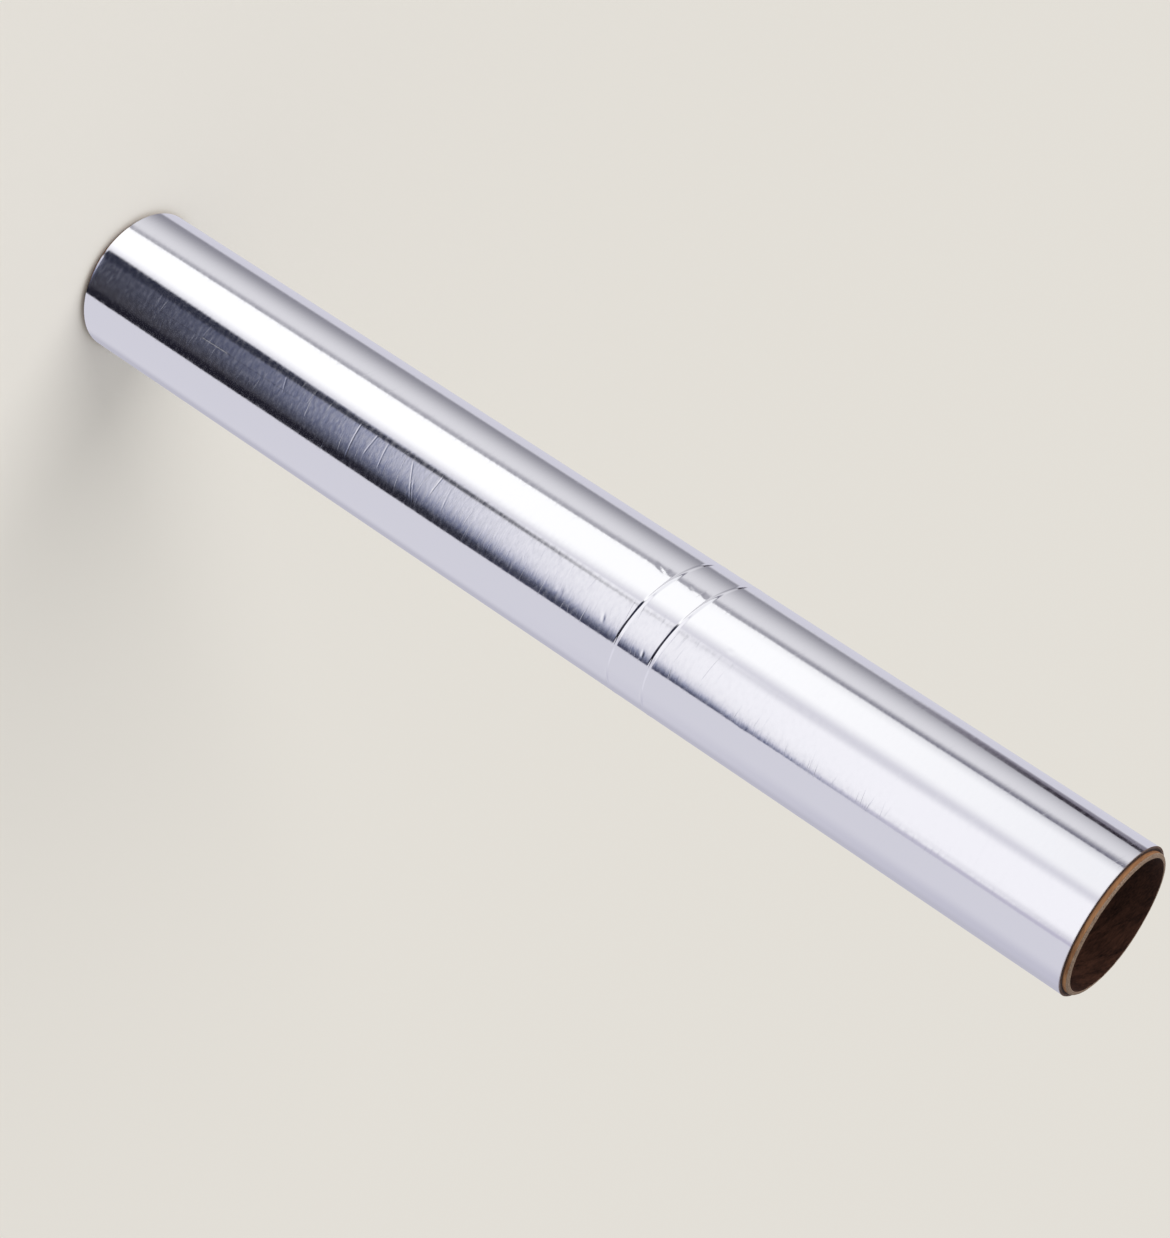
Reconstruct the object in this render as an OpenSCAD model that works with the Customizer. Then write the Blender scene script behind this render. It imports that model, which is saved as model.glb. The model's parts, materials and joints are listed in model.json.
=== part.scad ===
// A short roll of household aluminium foil, wound on a spiral cardboard core.
// The roll stands on its lower core end: Z runs along its axis, and Z = 0 is the ground.
// Everything is in millimetres and degrees.

/* [Cardboard core] */
// Inner diameter of the core, which takes a spindle
core_bore = 33.6; // [26:0.2:44]
// Thickness of the wound paper wall
core_wall = 1.1; // [1:0.1:4]
// Bevel left by the knife on each edge of the cut ends
core_edge = 0.2; // [0.05:0.05:0.4]
// How far the core stands out of the foil at the lower end
core_out_low = 1.2; // [0.4:0.1:8]
// How far the core stands out of the foil at the upper end
core_out_high = 1.8; // [0.4:0.1:8]

/* [Wound foil] */
// Width of the foil web, which is its length along the roll
foil_width = 300; // [240:5:450]
// Radial depth of all the turns together
wind_build = 1.15; // [0.4:0.05:3]
// Turns that are drawn, each standing for a bundle of the thin real ones
drawn_turns = 8; // [3:1:8]
// How far the edge of the web wanders from one turn to the next
edge_wander = 0.15; // [0.05:0.01:0.3]
// Direction of the loose edge of the last turn, round the axis
tail_direction = 75; // [0:5:355]

/* [Creases round the middle] */
// Height of the lower crease above the lower edge of the foil
crease_height_up = 177; // [80:1:185]
// Distance from the lower crease to the upper one
crease_gap = 10.2; // [6:0.2:30]
// How far a crease stands out of the foil
crease_rise = 0.15; // [0.08:0.01:0.3]
// Width of a crease at its foot
crease_width = 1.2; // [0.8:0.1:2]
// Tilt of the creases out of square with the axis
crease_tilt = 9.5; // [2:0.5:14]
// Direction in which the creases climb highest
crease_climb = 160; // [0:5:355]

/* [Dents] */
// Depth of the deepest dent
dent_depth = 0.12; // [0.04:0.01:0.3]
// Radius of the blunt corner that pressed the dents
dent_tool_radius = 3; // [1.5:0.5:8]

/* [Hidden] */

// Circles are true curves, and this only sets how a preview draws them
$fn = 96;

// Radii that follow from the core and the winding
bore_radius = core_bore / 2;
core_radius = bore_radius + core_wall;
roll_radius = core_radius + wind_build;

// Heights along the axis
foil_low = core_out_low;
foil_high = foil_low + foil_width;
core_length = foil_high + core_out_high;

// The web gains this much radius in each half turn
half_turn_gain = wind_build / (2 * drawn_turns);
// Half turns from the core to the one that ends in the loose edge
last_half_turn = 2 * drawn_turns - 2;
// The web leans this share of its wander up on one side of the roll and down on the other. The
// rest swings by this angle with each half turn, counted back from the highest, which is the
// last, so that the steps of the two sides never cross at a corner.
wander_lean = 0.55;
wander_step = 77;

// The middle of the last turn, on which the creases lie
crease_radius = roll_radius - half_turn_gain;
// The flanks of a crease run on down into the wound foil by this much, and never to the core
crease_root = wind_build / 3;
// Shoulder of a crease, where its flank bends over to the crest
crease_shoulder = [crease_width / 4, 0.7 * crease_rise];
// How far a crease climbs and falls as it runs round the roll
crease_swing = crease_radius * tan(crease_tilt);
// Stations round the roll at which a crease is drawn
crease_stations = 80;

// The dents: height above the lower edge of the foil, direction round the axis, share of the depth
DENTS = [
    [156.5, 288, 0.4],
    [169.5, 288, 0.8],
    [172.5, 237, 1.0],
    [182, 295, 0.5],
    [200, 260, 0.6],
    [211.5, 298, 0.4],
    [225, 250, 0.5]
];

// Inner radius of a half turn, counted from the core, and how far its edge has wandered
function turn_radius(count) = core_radius + (count - 0.5) * half_turn_gain;
function turn_wander(count) =
    let (lean = count % 2 == 0 ? wander_lean : -wander_lean)
    edge_wander * (lean + (1 - wander_lean) * cos((last_half_turn - count) * wander_step));

// The half turns on one side of the roll in section, each a step beside the one below it. The
// first reaches inside the core's line, where the hole for the core then cuts it.
module half_section(counts) {
    low_edge = [
        for (count = counts, on_outside = [0, 1])
            [turn_radius(count + 2 * on_outside), foil_low + turn_wander(count)]
    ];
    high_edge = [for (point = low_edge) point + [0, foil_width]];
    last = len(low_edge) - 1;
    polygon([
        [core_radius - 2 * half_turn_gain, low_edge[0].y],
        for (index = [1 : last]) low_edge[index],
        for (index = [last : -1 : 1]) high_edge[index],
        [core_radius - 2 * half_turn_gain, high_edge[0].y]
    ]);
}

// The two sides of the roll are turned about centres that sit half a gain to either side of
// the axis, so that each half turn runs on into the next and the web winds up as a spiral.
// It ends at a step on the -X side, which is the loose edge.
module wound_web() {
    for (side = [0, 1])
        translate([(side - 0.5) * half_turn_gain, 0, 0])
            rotate([0, 0, side * 180])
                rotate_extrude(angle = 180)
                    half_section([for (turn = [side : drawn_turns - 1]) 2 * turn - side]);
}

// A crease is a low bead that runs round the roll in a tilted plane. Its section stands on the
// surface of the last turn at every station: two flanks that start below the surface, two
// shoulders and a crest.
module crease(height_up) {
    flank_slope = crease_shoulder.y / (crease_width / 2 - crease_shoulder.x);
    root_half_width = crease_width / 2 + crease_root / flank_slope;
    bead = [
        [-root_half_width, -crease_root],
        [-crease_shoulder.x, crease_shoulder.y],
        [0, crease_rise],
        [crease_shoulder.x, crease_shoulder.y],
        [root_half_width, -crease_root]
    ];
    sides = len(bead);
    points = [
        for (station = [0 : crease_stations - 1], corner = bead)
            let (direction = station * 360 / crease_stations, radius = crease_radius + corner.y)
            [
                radius * cos(direction),
                radius * sin(direction),
                height_up + crease_swing * cos(direction - crease_climb) + corner.x
            ]
    ];
    faces = [
        for (station = [0 : crease_stations - 1], side = [0 : sides - 1], half = [0, 1])
            let (
                here = station * sides,
                there = (station + 1) % crease_stations * sides,
                next_side = (side + 1) % sides
            )
            half == 0
                ? [here + side, there + side, there + next_side]
                : [here + side, there + next_side, here + next_side]
    ];
    polyhedron(points, faces);
}

// The blunt tool that pressed one dent, its tip below the surface by the depth of the dent
module dent_tool(height_up, direction, share) {
    rotate([0, 0, direction])
        translate([crease_radius + dent_tool_radius - share * dent_depth, 0, foil_low + height_up])
            sphere(r = dent_tool_radius);
}

// The paper tube that the foil is wound on, with its cut ends lightly bevelled
module cardboard_core() {
    color("peru")
        rotate_extrude()
            polygon([
                [bore_radius, core_edge],
                [bore_radius + core_edge, 0],
                [core_radius - core_edge, 0],
                [core_radius, core_edge],
                [core_radius, core_length - core_edge],
                [core_radius - core_edge, core_length],
                [bore_radius + core_edge, core_length],
                [bore_radius, core_length - core_edge]
            ]);
}

// The whole web as one wound solid, with the creases round its middle and its small dents
module foil_roll() {
    color("silver")
        difference() {
            union() {
                rotate([0, 0, tail_direction - 180])
                    wound_web();
                for (rise = [0, crease_gap])
                    crease(foil_low + crease_height_up + rise);
            }
            translate([0, 0, -core_length])
                cylinder(r = core_radius, h = 3 * core_length);
            for (dent = DENTS)
                dent_tool(dent[0], dent[1], dent[2]);
        }
}

cardboard_core();
foil_roll();
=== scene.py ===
"""Looks of a short roll of household aluminium foil on its cardboard core.

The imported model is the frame: metres, +Z up along the roll's axis, the ground at Z = 0. The
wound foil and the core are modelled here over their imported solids, with the surface of the web,
its cut edges and the paper plies, and get their finishes. Sizes in this file are millimetres
and degrees, and each finished mesh is scaled to metres.
"""

import json
import logging
import math
from dataclasses import dataclass
from enum import Enum
from typing import Optional, Sequence, Union

import bmesh
import bpy
from mathutils import Matrix, Vector, noise


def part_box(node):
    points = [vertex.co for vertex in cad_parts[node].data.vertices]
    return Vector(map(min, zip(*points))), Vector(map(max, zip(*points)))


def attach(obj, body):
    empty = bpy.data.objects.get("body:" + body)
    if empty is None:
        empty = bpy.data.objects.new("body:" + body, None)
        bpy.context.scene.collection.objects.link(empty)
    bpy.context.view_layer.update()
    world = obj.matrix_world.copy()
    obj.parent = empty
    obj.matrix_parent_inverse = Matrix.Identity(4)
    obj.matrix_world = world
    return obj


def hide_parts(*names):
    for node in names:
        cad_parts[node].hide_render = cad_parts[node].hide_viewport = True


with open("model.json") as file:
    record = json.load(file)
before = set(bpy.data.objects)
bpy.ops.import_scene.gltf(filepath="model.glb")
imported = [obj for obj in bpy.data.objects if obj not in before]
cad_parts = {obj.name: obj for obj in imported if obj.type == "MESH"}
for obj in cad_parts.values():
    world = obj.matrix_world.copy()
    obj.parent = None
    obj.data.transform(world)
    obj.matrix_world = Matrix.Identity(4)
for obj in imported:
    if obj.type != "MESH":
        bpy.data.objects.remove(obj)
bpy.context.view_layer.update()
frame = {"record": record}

LOG = logging.getLogger("foil_roll")
MM = 0.001
FULL_TURN = 360.0
# Lengths in millimetres that differ by less than this are the same
TOLERANCE = 0.001
UV_NAME = "unrolled"

Colour = tuple[float, float, float, float]
ScreenColour = tuple[int, int, int]
Socket = bpy.types.NodeSocket
Value = Union[float, Sequence[float], Socket]


class Role(Enum):
    """Where a face lies on its piece, which settles the finish that it gets."""

    SKIN = 0
    CUT = 1
    LINER = 2


class Fade(Enum):
    """How a value runs between two limits."""

    EVEN = "LINEAR"
    SOFT = "SMOOTHSTEP"


def screen_colour(red: int, green: int, blue: int) -> Colour:
    """Turns a colour as a screen shows it into the linear colour that a shader takes.

    Args:
        red: The red part. 255 is the brightest that a screen shows, and a lamp may pass it.
        green: The green part, likewise.
        blue: The blue part, likewise.

    Returns:
        The linear colour, opaque.
    """
    parts = []
    for part in (red, green, blue):
        share = part / 255
        parts.append(share / 12.92 if share <= 0.04045 else ((share + 0.055) / 1.055) ** 2.4)
    return (*parts, 1.0)


def smooth_step(low: float, high: float, value: float) -> float:
    """Rises smoothly from 0 at one limit to 1 at the other.

    Args:
        low: The value at which the result is 0.
        high: The value at which the result is 1. It may be below the other limit.
        value: The value to place between them.

    Returns:
        The share of the way, from 0 to 1.
    """
    share = min(1.0, max(0.0, (value - low) / (high - low)))
    return share * share * (3 - 2 * share)


def angle_between(direction: float, other: float) -> float:
    """Gives the signed angle from one direction to another.

    Args:
        direction: The direction that is measured.
        other: The direction that it is measured from.

    Returns:
        The angle in degrees, from -180 to 180.
    """
    return (direction - other + FULL_TURN / 2) % FULL_TURN - FULL_TURN / 2


def ring_noise(angle: float, size: float, level: float) -> float:
    """Gives a smooth noise that closes on itself round the roll.

    Args:
        angle: The direction round the axis, in radians.
        size: The radius of the ring on which the noise is read, in features of the noise.
        level: The place along the axis, or a number that tells one noise from another.

    Returns:
        The noise, from -1 to 1.
    """
    return noise.noise((size * math.cos(angle), size * math.sin(angle), level))


class NodeBench:
    """Adds nodes to a tree and wires them together."""

    def __init__(self, tree: bpy.types.NodeTree) -> None:
        """Empties the tree.

        Args:
            tree: The tree of a material or a world.
        """
        self.tree = tree
        tree.nodes.clear()

    def feed(self, socket: Socket, value: Value) -> None:
        """Links a socket to another, or sets its value.

        Args:
            socket: The input to feed.
            value: An output socket, or a constant.
        """
        if isinstance(value, Socket):
            self.tree.links.new(value, socket)
        else:
            socket.default_value = value

    def node(
        self, kind: str, inputs: Optional[dict[Union[str, int], Value]] = None, **settings: object
    ) -> bpy.types.Node:
        """Adds one node.

        Args:
            kind: The node's type.
            inputs: What goes into its sockets, by name or number.
            **settings: Its own settings.

        Returns:
            The new node.
        """
        made = self.tree.nodes.new(kind)
        for name, setting in settings.items():
            setattr(made, name, setting)
        for name, value in (inputs or {}).items():
            self.feed(made.inputs[name], value)
        return made

    def math(
        self, operation: str, first: Value, second: Value = 0.0, third: Value = 0.0
    ) -> Socket:
        """Adds a sum.

        Args:
            operation: The kind of sum.
            first: Its first value.
            second: Its second value, where it has one.
            third: Its third value, where it has one.

        Returns:
            The result's socket.
        """
        values = {0: first, 1: second, 2: third}
        return self.node("ShaderNodeMath", values, operation=operation).outputs[0]

    def span(
        self,
        value: Value,
        source: tuple[float, float],
        target: tuple[float, float] = (0.0, 1.0),
        fade: Fade = Fade.EVEN,
    ) -> Socket:
        """Maps a value from one range to another, and holds it there.

        Args:
            value: The value to map.
            source: The range that it comes from.
            target: The range that it goes to.
            fade: How it runs between the limits.

        Returns:
            The result's socket.
        """
        limits = {1: source[0], 2: source[1], 3: target[0], 4: target[1]}
        made = self.node("ShaderNodeMapRange", {0: value, **limits}, interpolation_type=fade.value)
        return made.outputs[0]

    def blend(self, share: Value, first: Value, second: Value) -> Socket:
        """Mixes two colours.

        Args:
            share: How much of the second colour is taken.
            first: The first colour.
            second: The second colour.

        Returns:
            The mixed colour's socket.
        """
        inputs = {0: share, 6: first, 7: second}
        return self.node("ShaderNodeMix", inputs, data_type="RGBA").outputs[2]

    def grain(self, place: Value, stretch: Sequence[float], detail: float = 3.0) -> Socket:
        """Adds a noise whose features have a real size along each axis.

        Args:
            place: The coordinates in metres.
            stretch: The size of a feature along each axis, in millimetres.
            detail: How many finer layers lie over it.

        Returns:
            The noise's socket, from 0 to 1.
        """
        scale = [1.0 / (size * MM) for size in stretch]
        mapped = self.node("ShaderNodeMapping", {"Vector": place, "Scale": scale}).outputs[0]
        made = self.node("ShaderNodeTexNoise", {"Vector": mapped, "Scale": 1.0, "Detail": detail})
        return made.outputs[0]

    def radius(self) -> Socket:
        """Adds the distance from the roll's axis, in metres."""
        place = self.node("ShaderNodeTexCoord").outputs["Object"]
        flat = self.node("ShaderNodeVectorMath", {0: place, 1: (1.0, 1.0, 0.0)}, operation="MULTIPLY")
        away = self.node("ShaderNodeVectorMath", {0: flat.outputs[0]}, operation="LENGTH")
        return away.outputs["Value"]

    def bump(self, height: Value, depth: float, below: Optional[Socket] = None) -> Socket:
        """Adds relief that is too fine for the mesh.

        Args:
            height: The relief, from 0 to 1.
            depth: Its real depth in millimetres.
            below: The normal of the relief that it lies on, if any.

        Returns:
            The normal's socket.
        """
        inputs = {"Height": height, "Distance": depth * MM, "Strength": 1.0}
        if below is not None:
            inputs["Normal"] = below
        return self.node("ShaderNodeBump", inputs).outputs[0]

    def surface(self, inputs: dict[str, Value]) -> None:
        """Adds the surface shader and sends it to the material's output.

        Args:
            inputs: What goes into the shader's sockets, by name.
        """
        made = self.node("ShaderNodeBsdfPrincipled", inputs)
        self.node("ShaderNodeOutputMaterial", {"Surface": made.outputs[0]})


def new_material(name: str) -> tuple[bpy.types.Material, NodeBench]:
    """Makes an empty material.

    Args:
        name: The material's name.

    Returns:
        The material, and the bench for its nodes.
    """
    material = bpy.data.materials.new(name)
    material.use_nodes = True
    return material, NodeBench(material.node_tree)


@dataclass(frozen=True)
class Scratch:
    """A hairline scratch on the web, from one place to another.

    Each place is a height above the lower edge of the web and a direction round the roll.
    """

    start: tuple[float, float]
    end: tuple[float, float]
    depth: float = 1.0
    half_width: float = 0.36


@dataclass(frozen=True)
class FoilSkin:
    """The bright side of the rolled web.

    The rolls that thinned the metal left fine lines along the web, which run round the roll.
    They scatter light along the axis and hardly at all across it. A fine grain, which also makes
    the sheen uneven, lies under them, and hairlines and scratches over them.
    """

    tail_direction: float
    radius: float
    low: float
    colour: Colour = screen_colour(243, 243, 246)
    sheen_roughness: tuple[float, float] = (0.055, 0.13)
    spread_along_axis: float = 0.6
    spread_turn: float = 0.25
    line_size: tuple[float, float, float] = (90.0, 0.5, 1.0)
    line_depth: float = 0.0022
    grain_size: tuple[float, float, float] = (1.6, 1.0, 1.0)
    grain_depth: float = 0.0062
    grain_reach: tuple[float, float] = (0.3, 0.7)
    hairline_size: tuple[float, float, float] = (14.0, 0.3, 1.0)
    hairline_lean: float = 9.0
    hairline_depth: float = 0.0045
    hairline_reach: tuple[float, float] = (0.7, 0.8)
    scratch_depth: float = 0.0065
    scratch_taper: float = 0.6
    scratches: tuple[Scratch, ...] = (
        Scratch((64.5, 268.0), (66.0, 282.0), 0.7),
        Scratch((89.2, 266.0), (89.3, 300.0), 1.0),
        Scratch((94.8, 267.0), (93.6, 287.0), 0.7),
        Scratch((98.3, 268.0), (98.8, 290.0), 0.7),
        Scratch((106.2, 268.0), (110.6, 297.0), 0.9),
        Scratch((109.0, 280.0), (111.5, 299.0), 0.5),
        Scratch((115.6, 266.0), (114.6, 284.0), 0.6),
        Scratch((119.0, 270.0), (119.4, 292.0), 0.4),
        Scratch((25.4, 286.0), (25.6, 299.0), 0.5),
        Scratch((36.0, 279.6), (48.5, 279.0), 4.2, 0.12),
        Scratch((6.0, 281.0), (80.0, 278.6), 2.1, 0.1),
    )

    def make(self) -> bpy.types.Material:
        """Builds the material, which reads the web's own coordinates."""
        material, bench = new_material("foil_skin")
        web = bench.node("ShaderNodeUVMap", uv_map=UV_NAME).outputs[0]
        lines = bench.grain(web, self.line_size)
        grain = bench.grain(web, self.grain_size, 3.0)
        tangent = bench.node("ShaderNodeTangent", direction_type="UV_MAP", uv_map=UV_NAME)
        relief = bench.bump(grain, self.grain_depth)
        relief = bench.bump(lines, self.line_depth, relief)
        relief = bench.bump(self.hairlines(bench, web), self.hairline_depth, relief)
        relief = bench.bump(self.long_scratches(bench, web), self.scratch_depth, relief)
        bench.surface({
            "Base Color": self.colour,
            "Metallic": 1.0,
            "Roughness": bench.span(grain, self.grain_reach, self.sheen_roughness),
            "Anisotropic": self.spread_along_axis,
            "Anisotropic Rotation": self.spread_turn,
            "Tangent": tangent.outputs[0],
            "Normal": relief,
        })
        return material

    def hairlines(self, bench: NodeBench, web: Socket) -> Socket:
        """Lays two families of short hairlines that lean a little out of square.

        Args:
            bench: The bench for the nodes.
            web: The web's coordinates.

        Returns:
            Their relief, 0 at the bottom of a hairline and 1 away from them.
        """
        families = []
        for lean in (self.hairline_lean, -self.hairline_lean / 2):
            turn = {"Vector": web, "Rotation": (0.0, 0.0, math.radians(lean))}
            turned = bench.node("ShaderNodeMapping", turn).outputs[0]
            grain = bench.grain(turned, self.hairline_size, 1.0)
            families.append(bench.span(grain, self.hairline_reach, (1.0, 0.0)))
        return bench.math("MINIMUM", *families)

    def long_scratches(self, bench: NodeBench, web: Socket) -> Socket:
        """Draws the scratches that can be told apart.

        Args:
            bench: The bench for the nodes.
            web: The web's coordinates.

        Returns:
            Their relief, below 0 in a scratch and 0 away from them.
        """
        relief = 0.0
        for scratch in self.scratches:
            start, end = (Vector(self.place(*point)) for point in (scratch.start, scratch.end))
            middle, half = (start + end) / 2, (end - start).length / 2
            turn = math.atan2(end.y - start.y, end.x - start.x)
            settings = {"Vector": web, "Location": (*middle, 0.0), "Rotation": (0.0, 0.0, turn)}
            local = bench.node("ShaderNodeMapping", settings, vector_type="TEXTURE").outputs[0]
            apart = bench.node("ShaderNodeSeparateXYZ", {0: local}).outputs
            along = bench.math("ABSOLUTE", apart[0])
            across = bench.math("ABSOLUTE", apart[1])
            width = scratch.half_width * MM
            body = bench.span(across, (width, 0.0), (0.0, -scratch.depth), Fade.SOFT)
            taper = bench.span(along, (half, half * self.scratch_taper), fade=Fade.SOFT)
            relief = bench.math("MINIMUM", relief, bench.math("MULTIPLY", body, taper))
        return relief

    def place(self, height: float, direction: float) -> tuple[float, float]:
        """Turns a place on the roll into the web's coordinates.

        Args:
            height: Height above the lower edge of the web.
            direction: The direction round the roll.

        Returns:
            Metres along the web and up it.
        """
        turned = math.radians((direction - self.tail_direction) % FULL_TURN)
        return (turned * self.radius * MM, (self.low + height) * MM)


@dataclass(frozen=True)
class FoilCutEdge:
    """The stacked edges of the web at an end of the roll.

    Their colour is painted dark, as the shade trapped between the thin turns, and darkest where
    they meet the core, as painted shade in that corner.
    """

    inside: float
    outside: float
    # Painted shade: these tones stand in for the light trapped between the turns
    bright: Colour = screen_colour(152, 126, 110)
    dark: Colour = screen_colour(86, 63, 54)
    # Painted shade in the corner where the edges meet the core
    corner: Colour = screen_colour(44, 30, 25)
    turn_size: float = 0.05
    turn_reach: tuple[float, float] = (0.35, 0.65)
    turn_depth: float = 0.02
    metal_share: float = 0.2
    roughness: float = 0.6

    def make(self) -> bpy.types.Material:
        """Builds the material, whose lines follow the turns."""
        material, bench = new_material("foil_cut_edge")
        radius = bench.radius()
        along = bench.node("ShaderNodeCombineXYZ", {0: radius}).outputs[0]
        turns = bench.grain(along, (self.turn_size, 1.0, 1.0), 2.0)
        stack = bench.blend(bench.span(turns, self.turn_reach), self.dark, self.bright)
        reach = (self.inside * MM, self.outside * MM)
        # Paints the corner shade, which darkens the stack towards the core
        colour = bench.blend(bench.span(radius, reach, fade=Fade.SOFT), self.corner, stack)
        bench.surface({
            "Base Color": colour,
            "Metallic": self.metal_share,
            "Roughness": self.roughness,
            "Normal": bench.bump(turns, self.turn_depth),
        })
        return material


@dataclass(frozen=True)
class Paper:
    """Paper board with long fibres, mottled from one colour to another.

    Its mottle is a sum of fibres and clouds. At each height in its list, a dark line of painted
    shade lies in the corner where the board comes out from under the edge of the web.
    """

    name: str
    light: Colour
    deep: Colour
    fibre_size: tuple[float, float, float] = (2.4, 0.25, 1.0)
    cloud_size: tuple[float, float, float] = (7.0, 5.0, 5.0)
    fibre_depth: float = 0.03
    fibre_share: float = 0.45
    mottle_reach: tuple[float, float] = (0.35, 0.62)
    roughness: float = 0.85
    gloss: float = 0.25
    # The heights, width, strength and colour of a line of painted shade in the corner at the web's edge
    shaded_heights: tuple[float, ...] = ()
    shade_reach: float = 0.55
    shade_share: float = 0.9
    shade_colour: Colour = screen_colour(58, 38, 28)

    def make(self) -> bpy.types.Material:
        """Builds the material, whose fibres run along the strips of paper."""
        material, bench = new_material(self.name)
        strip = bench.node("ShaderNodeUVMap", uv_map=UV_NAME).outputs[0]
        fibres = bench.grain(strip, self.fibre_size)
        clouds = bench.grain(strip, self.cloud_size, 4.0)
        mottle = bench.math("MULTIPLY", clouds, 1 - self.fibre_share)
        mottle = bench.math("MULTIPLY_ADD", fibres, self.fibre_share, mottle)
        colour = bench.blend(bench.span(mottle, self.mottle_reach), self.deep, self.light)
        # Painted shade: a dark line in the corner where the core comes out from under the web
        for height in self.shaded_heights:
            colour = self.paint_corner_shade(bench, colour, height)
        bench.surface({
            "Base Color": colour,
            "Roughness": self.roughness,
            "Specular IOR Level": self.gloss,
            "Normal": bench.bump(fibres, self.fibre_depth),
        })
        return material

    def paint_corner_shade(self, bench: NodeBench, colour: Socket, height: float) -> Socket:
        """Paints a dark line of shade on the ply along the edge of the web, in the corner between them.

        Args:
            bench: The bench for the nodes.
            colour: The colour of the ply.
            height: The height of the web's edge above the ground.

        Returns:
            The colour with the painted line of shade.
        """
        place = bench.node("ShaderNodeTexCoord").outputs["Object"]
        up = bench.node("ShaderNodeSeparateXYZ", {0: place}).outputs[2]
        away = bench.math("ABSOLUTE", bench.math("SUBTRACT", up, height * MM))
        share = bench.span(away, (0.0, self.shade_reach * MM), (self.shade_share, 0.0), Fade.SOFT)
        return bench.blend(share, colour, self.shade_colour)


@dataclass(frozen=True)
class CutPlies:
    """The knife-cut end of the core, which shows its plies as rings."""

    bore_radius: float
    wall: float
    plies: int = 3
    light: Colour = screen_colour(158, 136, 118)
    deep: Colour = screen_colour(112, 92, 78)
    gap: Colour = screen_colour(74, 56, 46)
    seam_reach: tuple[float, float] = (0.42, 0.5)
    seam_tint: float = 0.6
    seam_sink: float = 0.8
    fibre_size: tuple[float, float, float] = (0.3, 0.3, 0.3)
    fibre_reach: tuple[float, float] = (0.35, 0.65)
    relief_depth: float = 0.08
    roughness: float = 0.92
    gloss: float = 0.2

    def make(self) -> bpy.types.Material:
        """Builds the material, whose rings are centred on the axis."""
        material, bench = new_material("core_cut_plies")
        place = bench.node("ShaderNodeTexCoord").outputs["Object"]
        reach = (self.bore_radius * MM, (self.bore_radius + self.wall) * MM)
        ply = bench.span(bench.radius(), reach, (0.0, float(self.plies)))
        within = bench.math("ABSOLUTE", bench.math("SUBTRACT", bench.math("FRACT", ply), 0.5))
        seam = bench.span(within, self.seam_reach)
        fibres = bench.grain(place, self.fibre_size, 4.0)
        board = bench.blend(bench.span(fibres, self.fibre_reach), self.deep, self.light)
        colour = bench.blend(bench.math("MULTIPLY", seam, self.seam_tint), board, self.gap)
        relief = bench.math("SUBTRACT", fibres, bench.math("MULTIPLY", seam, self.seam_sink))
        bench.surface({
            "Base Color": colour,
            "Roughness": self.roughness,
            "Specular IOR Level": self.gloss,
            "Normal": bench.bump(relief, self.relief_depth),
        })
        return material


@dataclass(frozen=True)
class RollSizes:
    """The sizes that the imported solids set, in millimetres."""

    bore_radius: float
    core_radius: float
    core_length: float
    foil_low: float
    foil_high: float
    foil_reach: float

    @classmethod
    def from_frame(cls) -> "RollSizes":
        """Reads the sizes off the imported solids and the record's bore."""
        core_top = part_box("cardboard_core")[1] / MM
        foil_box = [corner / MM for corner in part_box("foil_roll")]
        bore = next(mount for mount in frame["record"]["mounts"] if mount["name"] == "bore")
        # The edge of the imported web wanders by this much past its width
        web_slack = 0.15
        return cls(
            bore_radius=bore["dims"]["r_mm"],
            core_radius=core_top.x,
            core_length=core_top.z,
            foil_low=foil_box[0].z + web_slack,
            foil_high=foil_box[1].z - web_slack,
            foil_reach=foil_box[1].x,
        )


@dataclass(frozen=True)
class Crease:
    """A fold that runs round the roll and stands a little out of the web."""

    height: float
    rise: float = 0.145
    half_width: float = 0.62


@dataclass(frozen=True)
class Mark:
    """A small dent in the web, or a wrinkle where its depth is below zero."""

    height: float
    direction: float
    depth: float
    half_length: float
    half_width: float
    lean: float = 0.0


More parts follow.
